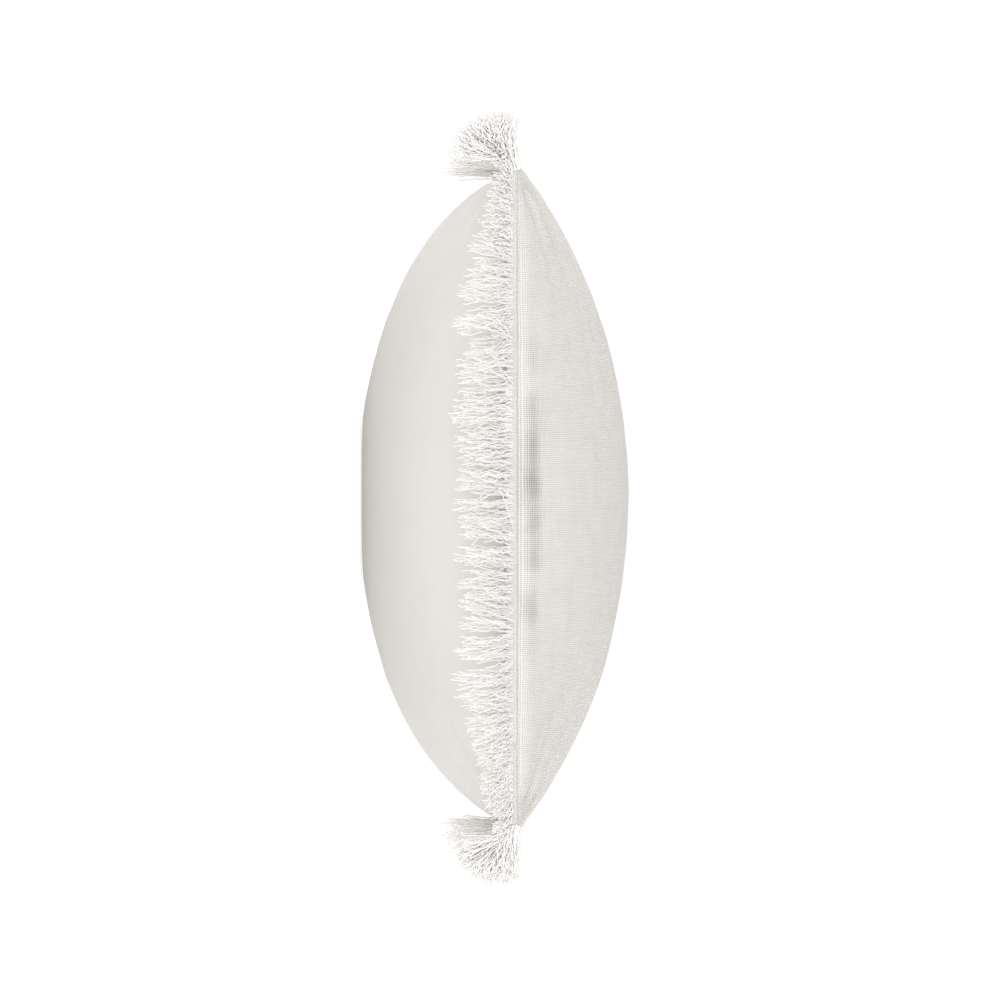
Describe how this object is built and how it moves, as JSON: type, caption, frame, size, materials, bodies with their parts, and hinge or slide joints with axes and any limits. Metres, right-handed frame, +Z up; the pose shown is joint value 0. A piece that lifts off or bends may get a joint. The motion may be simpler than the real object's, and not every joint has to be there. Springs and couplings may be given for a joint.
{
  "type": "throw pillow",
  "caption": "Square throw pillow with plump crowned faces, a drooping cut fringe along its seams, fuller bunches at the corners and a concealed zip.",
  "frame": {"origin": "middle of the flat patch of the back face that the pillow rests on, under the middle of the cover", "axes": "+Z up through the thickness, out of the front face; X and Y along the sides of the cover; the zip is in the +Y side"},
  "size_m": [0.4852, 0.4852, 0.17],
  "materials": {
    "front_cloth": "matte",
    "back_cloth": "matte",
    "header_cotton": "matte",
    "fringe_cotton": "matte",
    "sewing_thread": "matte",
    "casing_cloth": "matte",
    "polyester_fibre": "matte",
    "zip_ribbon": "matte",
    "zip_nylon": "satin",
    "painted_zinc": "satin"
  },
  "bodies": {
    "cover": {"front_panel": "front_cloth", "back_panel": "back_cloth", "header_tape_near": "header_cotton", "header_tape_right": "header_cotton", "header_tape_far": "header_cotton", "header_tape_left": "header_cotton", "fringe_near": "fringe_cotton", "fringe_right": "fringe_cotton", "fringe_far": "fringe_cotton", "fringe_left": "fringe_cotton", "seam_thread_near": "sewing_thread", "seam_thread_right": "sewing_thread", "seam_thread_far": "sewing_thread", "seam_thread_left": "sewing_thread", "corner_fringe_near_left": "fringe_cotton", "corner_fringe_near_right": "fringe_cotton", "corner_fringe_far_left": "fringe_cotton", "corner_fringe_far_right": "fringe_cotton", "insert_casing_front": "casing_cloth", "insert_casing_back": "casing_cloth", "fibre_fill": "polyester_fibre", "zip_tape_upper": "zip_ribbon", "zip_tape_lower": "zip_ribbon", "zip_teeth_upper": "zip_nylon", "zip_teeth_lower": "zip_nylon", "zip_top_stop_upper": "zip_nylon", "zip_top_stop_lower": "zip_nylon", "zip_bottom_stop": "zip_nylon"},
    "slider": {"zip_slider": "painted_zinc"},
    "pull_tab": {"zip_pull_tab": "painted_zinc"}
  },
  "joints": [
    {"name": "zip_slide", "type": "slide", "parent": "cover", "child": "slider", "axis": [1, 0, 0], "range_m": [0, 0.284]},
    {"name": "tab_swing", "type": "hinge", "parent": "slider", "child": "pull_tab", "pos_m": [-0.1422, 0.20859, 0.083], "axis": [0, 0, 1], "range_deg": [0, 180]}
  ]
}
